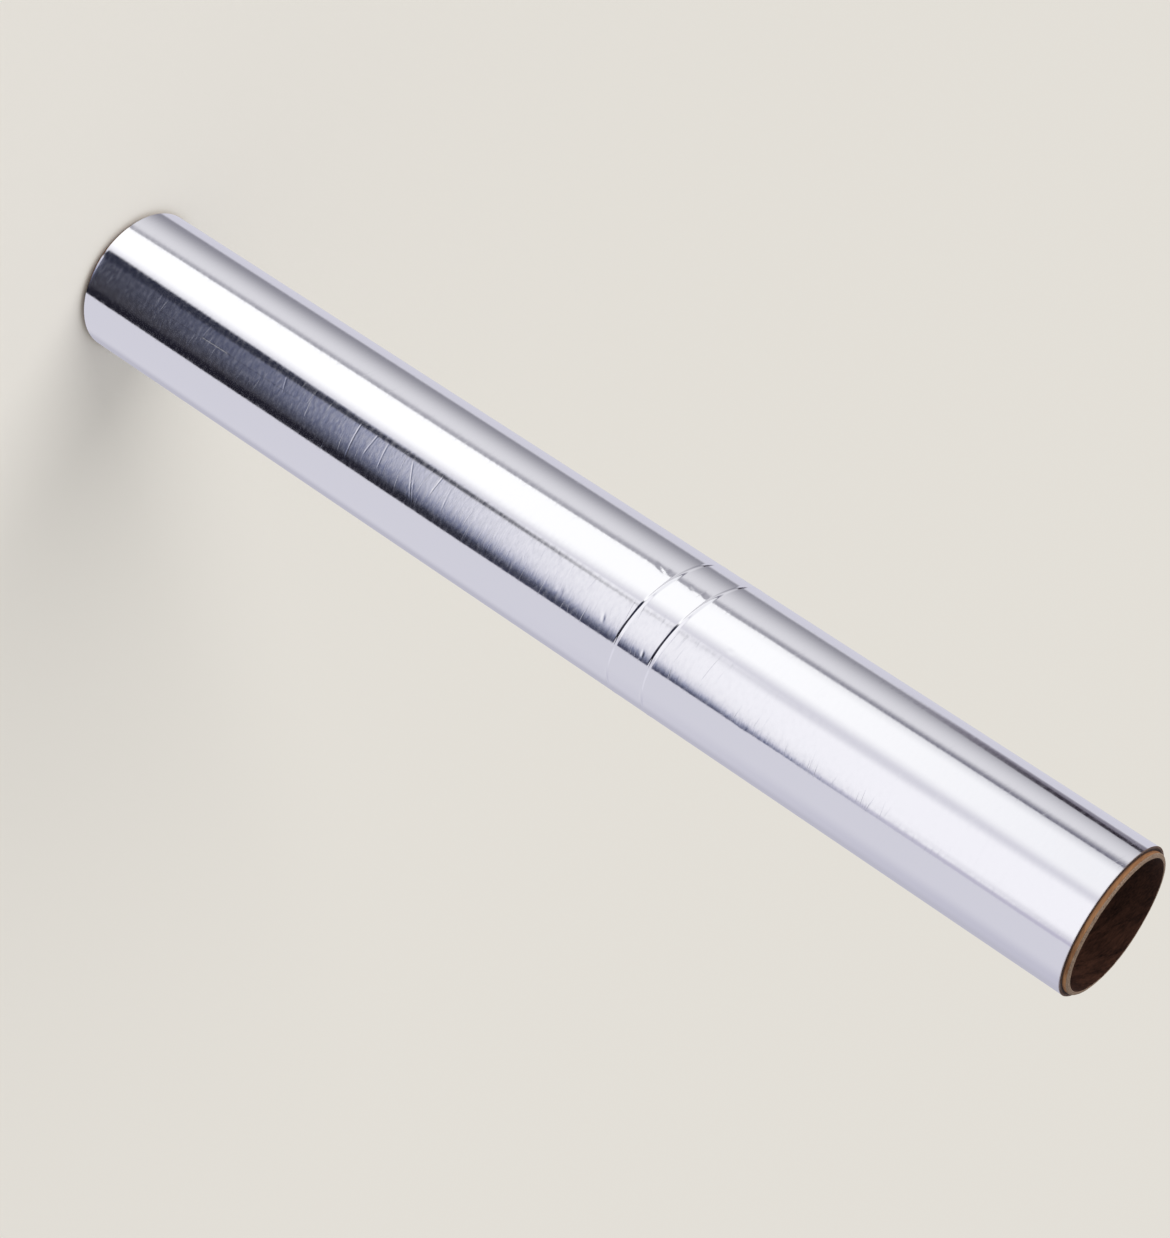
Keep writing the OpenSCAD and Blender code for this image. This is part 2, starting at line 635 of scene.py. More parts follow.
@dataclass
class TurnedPiece:
    """A closed piece that starts as a profile spun round the roll's axis."""

    sizes: RollSizes

    def spin(self, mesh: bmesh.types.BMesh, start: float, steps: int) -> None:
        """Spins the profile into a closed ring.

        Args:
            mesh: Holds the profile, which lies in the direction where the spin starts.
            start: The direction of the profile.
            steps: The number of columns round the ring.
        """
        bmesh.ops.rotate(
            mesh, verts=mesh.verts[:], cent=(0, 0, 0), matrix=Matrix.Rotation(math.radians(start), 3, "Z")
        )
        bmesh.ops.spin(
            mesh,
            geom=mesh.verts[:] + mesh.edges[:],
            cent=(0, 0, 0),
            axis=(0, 0, 1),
            dvec=(0, 0, 0),
            angle=2 * math.pi,
            steps=steps,
            use_merge=True,
            use_duplicate=False,
        )

    def wrap(self, mesh: bmesh.types.BMesh, around: dict[int, float], radius: float) -> None:
        """Gives each face its place on the unrolled surface, in metres.

        Args:
            mesh: The finished mesh.
            around: The share of a turn of each vertex, by its index.
            radius: The radius at which the surface is unrolled.
        """
        layer = mesh.loops.layers.uv.new(UV_NAME)
        for face in mesh.faces:
            shares = [around[loop.vert.index] for loop in face.loops]
            past_seam = max(shares) - min(shares) > 0.5
            for loop, share in zip(face.loops, shares):
                turn = share + 1 if past_seam and share < 0.5 else share
                depth = math.hypot(loop.vert.co.x, loop.vert.co.y) - radius
                along = loop.vert.co.z + depth
                loop[layer].uv = (2 * math.pi * radius * turn * MM, along * MM)

    def finish(
        self, mesh: bmesh.types.BMesh, name: str, finishes: Sequence[bpy.types.Material], corner: float
    ) -> bpy.types.Object:
        """Turns a mesh in millimetres into a finished piece in metres.

        Args:
            mesh: The mesh, which is freed.
            name: The piece's name.
            finishes: Its materials, in the order of the roles of its faces.
            corner: The angle past which an edge stays sharp.

        Returns:
            The new object, linked to the scene.
        """
        bmesh.ops.recalc_face_normals(mesh, faces=mesh.faces[:])
        bmesh.ops.scale(mesh, vec=(MM, MM, MM), verts=mesh.verts[:])
        data = bpy.data.meshes.new(name)
        mesh.to_mesh(data)
        mesh.free()
        for finish in finishes:
            data.materials.append(finish)
        data.shade_smooth()
        data.set_sharp_from_angle(angle=math.radians(corner))
        piece = bpy.data.objects.new(name, data)
        bpy.context.scene.collection.objects.link(piece)
        return piece


@dataclass
class WoundFoil(TurnedPiece):
    """The web of foil, wound as one spiral whose loose edge lies along the roll.

    The outside lies off its even spiral by slow waves, ripples, the marks, a taper from the lower
    edge to the upper one, and the flare of both edges. Each of the waves in which the edge
    wanders has a share of the wander, a rate per turn and a phase.
    """

    drawn_turns: int = 16
    tail_direction: float = 75.0
    tail_lift: float = 0.045
    tail_lift_length: float = 2.5
    edge_wander: float = 0.11
    wander_waves: tuple[tuple[float, float, float], ...] = ((0.6, 1.9, 0.4), (0.4, 4.7, 0.0))
    core_clearance: float = 0.01
    front_direction: float = 270.0
    front_half_angle: float = 96.0
    front_columns: int = 160
    back_columns: int = 76
    tail_columns: tuple[float, ...] = (0.02, 0.3, 0.8, 1.5)
    crease_climb: float = 160.0
    crease_swing: float = 3.17
    finest_ring: float = 0.1
    coarsest_ring: float = 2.5
    ring_growth: float = 0.04
    crease_zone: float = 1.1
    crease_crest: float = 0.15
    crease_tilt_reach: tuple[float, float] = (6.0, 75.0)
    crease_drift: float = 0.12
    crease_drift_size: float = 2.0
    crease_waver_size: float = 4.0
    crease_width_waver: float = 0.15
    crease_crest_waver: float = 0.08
    sharpest_crease: float = 278.0
    flattest_crease: float = 0.32
    flattening: tuple[float, float] = (22.0, 62.0)
    creases: tuple[Crease, ...] = (Crease(177.0), Crease(187.2))
    marks: tuple[Mark, ...] = (
        Mark(156.5, 288.5, 0.022, 0.6, 0.3, 4.0),
        Mark(169.3, 288.0, 0.03, 0.8, 0.3, 18.0),
        Mark(182.0, 294.5, 0.026, 0.65, 0.3, 8.0),
        Mark(200.2, 259.5, 0.03, 0.5, 0.6, 20.0),
        Mark(211.5, 298.0, 0.03, 0.6, 0.3, 0.0),
        Mark(225.0, 249.5, 0.016, 1.6, 0.6, 6.0),
        Mark(172.6, 235.6, 0.03, 1.1, 0.4, 62.0),
        Mark(174.3, 237.5, 0.035, 1.2, 0.35, 62.0),
        Mark(175.9, 235.4, 0.03, 0.8, 0.4, 50.0),
        Mark(182.6, 236.6, 0.025, 1.0, 0.4, 60.0),
        Mark(186.2, 235.4, 0.03, 1.0, 0.4, 55.0),
    )
    mark_reach: float = 8.0
    wave_depth: float = 0.03
    wave_size: tuple[float, float] = (13.0, 70.0)
    ripple_depth: float = 0.004
    ripple_size: tuple[float, float] = (6.0, 9.0)
    ripple_zone: float = 28.0
    edge_flare: float = 0.03
    edge_flare_length: float = 2.5
    edge_flare_size: float = 3.0
    edge_ring: float = 0.06
    edge_rings: int = 5
    edge_gap: float = 1.0
    lower_lift: float = 0.25
    lower_flare: float = 0.05
    lower_flare_length: float = 0.35
    lower_flare_middle: float = 268.0
    lower_flare_half_angle: float = 24.0
    taper: tuple[float, float] = (0.03, -0.12)
    level_end: float = 0.7

    @property
    def middle_radius(self) -> float:
        """The radius of the middle of the last turn, on which the creases stand."""
        return self.sizes.foil_reach - self.crease_crest

    @property
    def turn_gain(self) -> float:
        """What the web gains in radius over each drawn turn."""
        return (self.middle_radius - self.sizes.core_radius) / self.drawn_turns

    def column_directions(self) -> list[float]:
        """Places the columns of the mesh, close together in front and at the loose edge.

        Returns:
            The angle of each column past the loose edge, in rising order.
        """
        start = (self.front_direction - self.front_half_angle - self.tail_direction) % FULL_TURN
        end = start + 2 * self.front_half_angle
        ends = list(self.tail_columns)
        first, last = ends[-1], FULL_TURN - ends[-1]
        back_share = (start - first) / (start - first + last - end)
        before = round(self.back_columns * back_share)
        after = self.back_columns - before
        columns = list(ends)
        stretches = ((first, start, before), (start, end, self.front_columns), (end, last, after))
        for low, high, count in stretches:
            columns += [low + (high - low) * (step + 1) / count for step in range(count)]
        columns += [FULL_TURN - angle for angle in reversed(ends[:-1])]
        return columns

    def ring_heights(self) -> list[float]:
        """Places the rings of the mesh, closest together at the creases.

        Returns:
            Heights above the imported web's lower edge, from this web's lower edge to its upper one.
        """
        width = self.sizes.foil_high - self.sizes.foil_low
        heights = [0.0]
        while heights[-1] < width - self.coarsest_ring:
            here = heights[-1]
            to_crease = min(abs(here - crease.height) for crease in self.creases)
            clear = max(0.0, to_crease - self.crease_zone)
            step = min(self.coarsest_ring, self.finest_ring + self.ring_growth * clear)
            heights.append(here + step)
        near_edge = [self.edge_ring * step ** 2 for step in range(self.edge_rings)]
        reach = near_edge[-1] + self.edge_gap
        inner = [height for height in heights if reach < height < width - reach]
        lower = [self.lower_lift + height for height in near_edge]
        return lower + inner + [width - height for height in reversed(near_edge)]

    def profile(self, mesh: bmesh.types.BMesh) -> None:
        """Draws the web's section: the bore, the stepped edges of the turns and the outside.

        Args:
            mesh: The mesh that takes the profile, with the turn that each point belongs to.
        """
        turn_layer = mesh.verts.layers.int.new("turn")
        low, high = self.sizes.foil_low + self.lower_lift, self.sizes.foil_high
        inside = self.sizes.core_radius
        steps = [
            (inside + (turn + side) * self.turn_gain, turn)
            for turn in range(self.drawn_turns)
            for side in (0, 1)
        ]
        outside = [(steps[-1][0], self.sizes.foil_low + height) for height in self.ring_heights()[1:-1]]
        points = [(radius, low, turn) for radius, turn in steps]
        points += [(radius, height, self.drawn_turns - 1) for radius, height in outside]
        points += [(radius, high, turn) for radius, turn in reversed(steps)]
        made = []
        for radius, height, turn in points:
            vertex = mesh.verts.new((radius, 0.0, height))
            vertex[turn_layer] = turn
            made.append(vertex)
        for here, there in zip(made, made[1:] + made[:1]):
            mesh.edges.new((here, there))

    def wander(self, turns: float) -> float:
        """Gives how far the web's edge has wandered along the axis.

        Args:
            turns: Turns from the core.

        Returns:
            The distance in millimetres.
        """
        waves = (share * math.sin(rate * turns + phase) for share, rate, phase in self.wander_waves)
        return self.edge_wander * sum(waves)

    def tilt(self, height: float, direction: float) -> float:
        """Gives how far a ring climbs with the creases, which lie in tilted planes.

        Args:
            height: Height above the lower edge of the web.
            direction: The direction round the axis.

        Returns:
            The climb in millimetres, which fades out away from the creases.
        """
        lowest, highest = self.creases[0].height, self.creases[-1].height
        near, far = self.crease_tilt_reach
        below = smooth_step(lowest - far, lowest - near, height)
        above = smooth_step(highest + far, highest + near, height)
        return self.crease_swing * below * above * math.cos(math.radians(direction - self.crease_climb))

    def skin_offset(self, height: float, climbed: float, direction: float) -> float:
        """Gives how far the skin lies off its even spiral.

        Args:
            height: The ring's height before it climbs with the creases.
            climbed: Its height after.
            direction: The direction round the axis.

        Returns:
            The offset in millimetres, outwards.
        """
        angle = math.radians(direction)
        across, along = self.wave_size
        wave = ring_noise(angle, self.middle_radius / across, climbed / along)
        across, along = self.ripple_size
        ripple = ring_noise(angle, self.middle_radius / across, 7.0 + climbed / along)
        near = math.exp(-(((height - self.creases[0].height) / self.ripple_zone) ** 2))
        offset = self.wave_depth * wave + self.ripple_depth * (1 + 2 * near) * ripple
        for mark in self.marks:
            offset -= self.mark_depth(mark, climbed, direction)
        width = self.sizes.foil_high - self.sizes.foil_low
        offset += self.taper[0] + (self.taper[1] - self.taper[0]) * height / width
        return offset + self.flare(height, direction)

    def mark_depth(self, mark: Mark, height: float, direction: float) -> float:
        """Gives the depth of one mark at a place on the skin.

        Args:
            mark: The dent or wrinkle.
            height: Height above the lower edge of the web.
            direction: The direction round the axis.

        Returns:
            The depth in millimetres, inwards.
        """
        rise = height - mark.height
        sideways = math.radians(angle_between(direction, mark.direction)) * self.middle_radius
        if max(abs(rise), abs(sideways)) > self.mark_reach:
            return 0.0
        lean = math.radians(mark.lean)
        length = sideways * math.cos(lean) + rise * math.sin(lean)
        width = rise * math.cos(lean) - sideways * math.sin(lean)
        away = (length / mark.half_length) ** 2 + (width / mark.half_width) ** 2
        return mark.depth * math.exp(-away)

    def flare(self, height: float, direction: float) -> float:
        """Gives how far the thin edges of the web bend off the roll.

        Args:
            height: Height above the lower edge of the web.
            direction: The direction round the axis.

        Returns:
            The offset in millimetres, outwards.
        """
        width = self.sizes.foil_high - self.sizes.foil_low
        from_low = height - self.lower_lift
        from_edge = min(from_low, width - height)
        which_edge = 11.0 if height < width / 2 else 23.0
        bend = ring_noise(math.radians(direction), self.edge_flare_size, which_edge)
        away = angle_between(direction, self.lower_flare_middle) / self.lower_flare_half_angle
        lower = self.lower_flare * math.exp(-away * away - from_low / self.lower_flare_length)
        return self.edge_flare * bend * math.exp(-from_edge / self.edge_flare_length) + lower

    def crease_share(self, height: float, direction: float) -> float:
        """Gives how much of the crest of a crease stands at a place.

        Args:
            height: The ring's height before it climbs with the creases.
            direction: The direction round the axis.

        Returns:
            1 on the crest of a crease, and 0 away from them.
        """
        share = 0.0
        angle = math.radians(direction)
        for number, crease in enumerate(self.creases):
            uneven = ring_noise(angle, self.crease_waver_size, 31.0 + number)
            drift = self.crease_drift * ring_noise(angle, self.crease_drift_size, 41.0 + number)
            half_width = crease.half_width * (1 + self.crease_width_waver * uneven)
            away = abs(height - crease.height - drift) / half_width
            crest = 1 - self.crease_crest_waver * (1 - uneven)
            share = max(share, (1 - smooth_step(0.0, 1.0, away)) * crest)
        turned = abs(angle_between(direction, self.sharpest_crease))
        return share * (1 - (1 - self.flattest_crease) * smooth_step(*self.flattening, turned))

    def tail_rise(self, turn_share: float) -> float:
        """Gives how far the loose edge stands off the turn below it.

        Args:
            turn_share: The share of a turn past the loose edge.

        Returns:
            The rise in millimetres.
        """
        back = (1 - turn_share) * 2 * math.pi * self.middle_radius
        return self.tail_lift * math.exp(-back / self.tail_lift_length)

    def settle(self, mesh: bmesh.types.BMesh, columns: Sequence[float]) -> dict[int, float]:
        """Moves the even ring of the spin onto the wound form.

        Args:
            mesh: The spun mesh.
            columns: The angle of each column past the loose edge.

        Returns:
            The share of a turn of each vertex, by its index.
        """
        turn_layer = mesh.verts.layers.int["turn"]
        low = self.sizes.foil_low + self.lower_lift
        outside = self.sizes.core_radius + self.drawn_turns * self.turn_gain
        around = {}
        mesh.verts.index_update()
        for vertex in mesh.verts:
            even = math.degrees(math.atan2(vertex.co.y, vertex.co.x)) - self.tail_direction
            column = round((even % FULL_TURN) / FULL_TURN * len(columns)) % len(columns)
            direction = self.tail_direction + columns[column]
            share = columns[column] / FULL_TURN
            around[vertex.index] = share
            turn = vertex[turn_layer]
            radius = math.hypot(vertex.co.x, vertex.co.y)
            height = vertex.co.z
            is_edge = not low + TOLERANCE < height < self.sizes.foil_high - TOLERANCE
            is_inside = radius < self.sizes.core_radius + self.turn_gain / 2
            is_outside = radius > outside - self.turn_gain / 2
            if is_inside:
                radius = self.sizes.core_radius + self.core_clearance
            else:
                radius += self.turn_gain * (share - 0.5)
            if is_edge:
                height += self.wander(turn + share)
            if is_outside:
                above = vertex.co.z - self.sizes.foil_low
                climb = self.tilt(above, direction)
                radius += self.skin_offset(above, above + climb, direction)
                radius += self.tail_rise(share)
                crest = self.middle_radius + self.creases[0].rise
                radius += (crest - radius) * self.crease_share(above, direction)
                height += climb
            angle = math.radians(direction)
            vertex.co = (radius * math.cos(angle), radius * math.sin(angle), height)
        return around

    def build(self, skin: bpy.types.Material, edge: bpy.types.Material) -> bpy.types.Object:
        """Models the wound web and dresses it.

        Args:
            skin: The finish of the outside.
            edge: The finish of the cut edges.

        Returns:
            The piece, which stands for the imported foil.
        """
        mesh = bmesh.new()
        self.profile(mesh)
        columns = self.column_directions()
        self.spin(mesh, self.tail_direction, len(columns))
        around = self.settle(mesh, columns)
        mesh.normal_update()
        for face in mesh.faces:
            is_end = abs(face.normal.z) > self.level_end
            face.material_index = Role.CUT.value if is_end else Role.SKIN.value
        self.wrap(mesh, around, self.middle_radius)
        piece = self.finish(mesh, "wound_foil", (skin, edge), corner=40.0)
        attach(piece, "root")
        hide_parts("foil_roll")
        return piece


@dataclass
class CardboardCore(TurnedPiece):
    """The spiral-wound paper tube under the foil.

    The knife's cut wavers inside the full length, except at the high spots. Each of them has a
    direction, a half width and the share of the waver that it makes up for.
    """

    strip_width: float = 60.0
    ring_step: float = 1.2
    columns: int = 96
    wall_cuts: int = 4
    outer_seam: float = 40.0
    inner_seam: float = 215.0
    seam_depth: float = 0.09
    seam_half_width: float = 0.3
    gather_reach: float = 18.0
    gather_power: float = 2.4
    edge_bevel: float = 0.3
    cut_slope: float = 0.34
    cut_waver: float = 0.2
    cut_reach: float = 1.0
    high_spots: tuple[tuple[float, float, float], ...] = ((70.0, 30.0, 1.0), (262.0, 60.0, 0.8))
    burr: float = 0.05
    burr_size: float = 9.0
    level_outside: float = 0.15
    level_inside: float = 0.8

    @property
    def middle_radius(self) -> float:
        """The radius of the middle of the wall."""
        return (self.sizes.bore_radius + self.sizes.core_radius) / 2

    @property
    def lead(self) -> float:
        """How far a seam climbs in one turn round the bore."""
        around = 2 * math.pi * self.sizes.bore_radius
        slant = math.acos(self.strip_width / around)
        return around / math.tan(slant)

    def profile(self, mesh: bmesh.types.BMesh) -> None:
        """Draws the wall's section as a rectangle whose long sides are divided.

        Args:
            mesh: The mesh that takes the profile.
        """
        top = self.sizes.core_length
        corners = [
            (self.sizes.bore_radius, 0.0),
            (self.sizes.core_radius, 0.0),
            (self.sizes.core_radius, top),
            (self.sizes.bore_radius, top),
        ]
        made = [mesh.verts.new((radius, 0.0, height)) for radius, height in corners]
        edges = [mesh.edges.new(pair) for pair in zip(made, made[1:] + made[:1])]
        rings = round(top / self.ring_step)
        bmesh.ops.subdivide_edges(mesh, edges=[edges[1], edges[3]], cuts=rings)
        bmesh.ops.subdivide_edges(mesh, edges=[edges[0], edges[2]], cuts=self.wall_cuts)

    def column_shift(self, even: float) -> float:
        """Draws the columns next to a seam close to it.

        Args:
            even: The angle of a column when they are spaced evenly.

        Returns:
            Its angle with the columns gathered at the seams.
        """
        shifted = even
        for seam in (self.outer_seam, self.inner_seam):
            away = angle_between(even, seam)
            if abs(away) < self.gather_reach:
                gathered = self.gather_reach * (abs(away) / self.gather_reach) ** self.gather_power
                shifted += math.copysign(gathered - abs(away), away)
        return shifted

    def settle(self, mesh: bmesh.types.BMesh) -> dict[int, float]:
        """Winds the columns along the seams and presses the seams into the walls.

        Args:
            mesh: The spun and bevelled mesh.

        Returns:
            The share of a turn of each vertex, by its index.
        """
        around = {}
        mesh.verts.index_update()
        for vertex in mesh.verts:
            radius = math.hypot(vertex.co.x, vertex.co.y)
            height = vertex.co.z
            even = math.degrees(math.atan2(vertex.co.y, vertex.co.x)) % FULL_TURN
            direction = self.column_shift(even)
            around[vertex.index] = even / FULL_TURN
            is_outer = radius > self.middle_radius
            seam = self.outer_seam if is_outer else self.inner_seam
            off_seam = math.radians(angle_between(direction, seam)) * radius
            groove = self.seam_depth * math.exp(-((off_seam / self.seam_half_width) ** 2))
            if self.is_on_wall(radius):
                radius += -groove if is_outer else groove
            wound = math.radians(direction + FULL_TURN * height / self.lead)
            short = self.cut_short(wound, radius)
            if height < self.sizes.core_length / 2:
                height += short * self.end_share(height)
            else:
                wall = self.sizes.core_radius - self.sizes.bore_radius
                slope = self.cut_slope * (radius - self.sizes.bore_radius) / wall
                height -= (short + slope) * self.end_share(height)
            vertex.co = (radius * math.cos(wound), radius * math.sin(wound), height)
        return around

    def cut_short(self, angle: float, radius: float) -> float:
        """Gives how far the knife's cut lies inside the full length of the core.

        Args:
            angle: The direction round the axis, in radians.
            radius: The distance from the axis.

        Returns:
            The distance in millimetres, 0 or more.
        """
        direction = math.degrees(angle)
        stands = 0.0
        for middle, half_width, share in self.high_spots:
            away = angle_between(direction, middle) / half_width
            stands = max(stands, share * math.exp(-away * away))
        rough = ring_noise(angle, self.burr_size, 2 * radius)
        return self.cut_waver * (1 - stands) + self.burr * abs(rough)

    def end_share(self, height: float) -> float:
        """Gives 1 on a cut end and 0 a little way from it.

        Args:
            height: The height above the ground.

        Returns:
            The share, from 0 to 1.
        """
        from_end = min(height, self.sizes.core_length - height)
        return 1 - smooth_step(0.0, self.cut_reach, from_end)

    def build(
        self, outside: bpy.types.Material, cut: bpy.types.Material, liner: bpy.types.Material
    ) -> bpy.types.Object:
        """Models the tube and dresses it.

        Args:
            outside: The finish of the outer ply.
            cut: The finish of the cut ends.
            liner: The finish of the bore.

        Returns:
            The piece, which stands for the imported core.
        """
        mesh = bmesh.new()
        self.profile(mesh)
        self.spin(mesh, 0.0, self.columns)
        corners = [edge for edge in mesh.edges if self.is_corner(edge)]
        bmesh.ops.bevel(
            mesh,
            geom=corners,
            offset=self.edge_bevel,
            affect="EDGES",
            segments=3,
            profile=0.5,
            material=-1,
        )
        around = self.settle(mesh)
        mesh.normal_update()
        for face in mesh.faces:
            face.material_index = self.role(face).value
        self.wrap(mesh, around, self.sizes.bore_radius)
        piece = self.finish(mesh, "paper_core", (outside, cut, liner), corner=50.0)
        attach(piece, "root")
        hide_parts("cardboard_core")
        return piece

    def is_corner(self, edge: bmesh.types.BMEdge) -> bool:
        """Tells whether an edge lies on one of the four rings where a wall meets a cut end."""
        for vertex in edge.verts:
            from_end = min(vertex.co.z, self.sizes.core_length - vertex.co.z)
            on_wall = self.is_on_wall(math.hypot(vertex.co.x, vertex.co.y))
            if from_end > TOLERANCE or not on_wall:
                return False
        return True

    def is_on_wall(self, radius: float) -> bool:
        """Tells whether a radius is that of the bore or of the core's outside."""
        walls = (self.sizes.bore_radius, self.sizes.core_radius)
        return min(abs(radius - wall) for wall in walls) < TOLERANCE

    def role(self, face: bmesh.types.BMFace) -> Role:
        """Tells which finish a face gets.

        Args:
            face: A face of the finished form.

        Returns:
            The outside, the cut end or the liner.
        """
        middle = face.calc_center_median()
        is_outer = math.hypot(middle.x, middle.y) > self.middle_radius
        if abs(face.normal.z) > (self.level_outside if is_outer else self.level_inside):
            return Role.CUT
        return Role.SKIN if is_outer else Role.LINER


@dataclass(frozen=True)
class StudioCard:
    """A card, panel or strip light of the studio, as the foil mirrors it.

    Azimuth is measured round the roll from the side of the camera, and elevation from the
    horizon. A side that leans moves by so many degrees of azimuth with each degree of elevation.
    """

    start: float
    end: float
    colour: ScreenColour
    start_fade: float = 2.0
    end_fade: float = 2.0
    start_lean: float = 0.0
    end_lean: float = 0.0
    low: Optional[float] = None
    low_fade: float = 2.0
    high: Optional[float] = None
    high_fade: float = 2.0
    lean_centre: float = -28.0

    def paint(self, bench: NodeBench, azimuth: Socket, elevation: Socket, under: Value) -> Socket:
        """Paints the card over what lies behind it.

        Args:
            bench: The bench for the nodes.
            azimuth: The azimuth of the direction that is looked in.
            elevation: Its elevation.
            under: The colour behind the card.

        Returns:
            The painted colour's socket.
        """
        start = self.side(bench, azimuth, elevation, self.start_lean)
        end = self.side(bench, azimuth, elevation, self.end_lean)
        share = self.edge(bench, start, self.start, self.start_fade, rises=True)
        before = self.edge(bench, end, self.end, self.end_fade, rises=False)
        share = bench.math("MULTIPLY", share, before)
        if self.low is not None:
            above = self.edge(bench, elevation, self.low, self.low_fade, rises=True)
            share = bench.math("MULTIPLY", share, above)
        if self.high is not None:
            below = self.edge(bench, elevation, self.high, self.high_fade, rises=False)
            share = bench.math("MULTIPLY", share, below)
        return bench.blend(share, under, screen_colour(*self.colour))

    def side(self, bench: NodeBench, azimuth: Socket, elevation: Socket, lean: float) -> Socket:
        """Gives the azimuth as it is met along a side that leans.

        Args:
            bench: The bench for the nodes.
            azimuth: The azimuth of the direction.
            elevation: Its elevation.
            lean: Degrees of azimuth that the side moves with each degree of elevation.

        Returns:
            The azimuth with the side's lean taken off.
        """
        if lean == 0.0:
            return azimuth
        above = bench.math("SUBTRACT", elevation, self.lean_centre)
        return bench.math("SUBTRACT", azimuth, bench.math("MULTIPLY", above, lean))

    def edge(self, bench: NodeBench, value: Socket, place: float, fade: float, rises: bool) -> Socket:
        """Adds a soft edge.

        Args:
            bench: The bench for the nodes.
            value: The angle that crosses the edge.
            place: The angle of the middle of the edge.
            fade: The width of the edge.
            rises: Whether the card lies past the edge, rather than before it.

        Returns:
            The share of the card.
        """
        limits = (place - fade / 2, place + fade / 2)
        return bench.span(value, limits, (0.0, 1.0) if rises else (1.0, 0.0), Fade.SOFT)


@dataclass(frozen=True)
class DarkFlag:
    """A dark cloth under the camera, whose soft upper edge curves up towards one side."""

    start: float
    end: float
    side_fade: float
    edge: float
    edge_rise: float
    rise_width: float
    tones: tuple[tuple[float, ScreenColour], ...]
    rise_power: float = 3.0
    edge_fade: float = 2.0

    def paint(self, bench: NodeBench, azimuth: Socket, elevation: Socket, under: Value) -> Socket:
        """Paints the flag over what lies behind it.

        Args:
            bench: The bench for the nodes.
            azimuth: The azimuth of the direction that is looked in.
            elevation: Its elevation.
            under: The colour behind the flag.

        Returns:
            The painted colour's socket.
        """
        aside = bench.span(azimuth, (0.0, -self.rise_width))
        curve = bench.math("POWER", aside, self.rise_power)
        edge = bench.math("MULTIPLY_ADD", curve, self.edge_rise, self.edge)
        level = bench.math("SUBTRACT", elevation, edge)
        lowest, highest = self.tones[0][0], self.tones[-1][0]
        cloth = bench.node("ShaderNodeValToRGB", {0: bench.span(level, (lowest, highest))})
        points = cloth.color_ramp.elements
        points[0].color = screen_colour(*self.tones[0][1])
        points[1].color = screen_colour(*self.tones[-1][1])
        for place, tone in self.tones[1:-1]:
            point = points.new((place - lowest) / (highest - lowest))
            point.color = screen_colour(*tone)
        half = self.side_fade / 2
        share = bench.span(azimuth, (self.start - half, self.start + half), fade=Fade.SOFT)
        ending = bench.span(azimuth, (self.end - half, self.end + half), (1.0, 0.0), Fade.SOFT)
        fading = bench.span(level, (highest - self.edge_fade, highest), (1.0, 0.0), Fade.SOFT)
        share = bench.math("MULTIPLY", bench.math("MULTIPLY", share, ending), fading)
        return bench.blend(share, under, cloth.outputs[0])


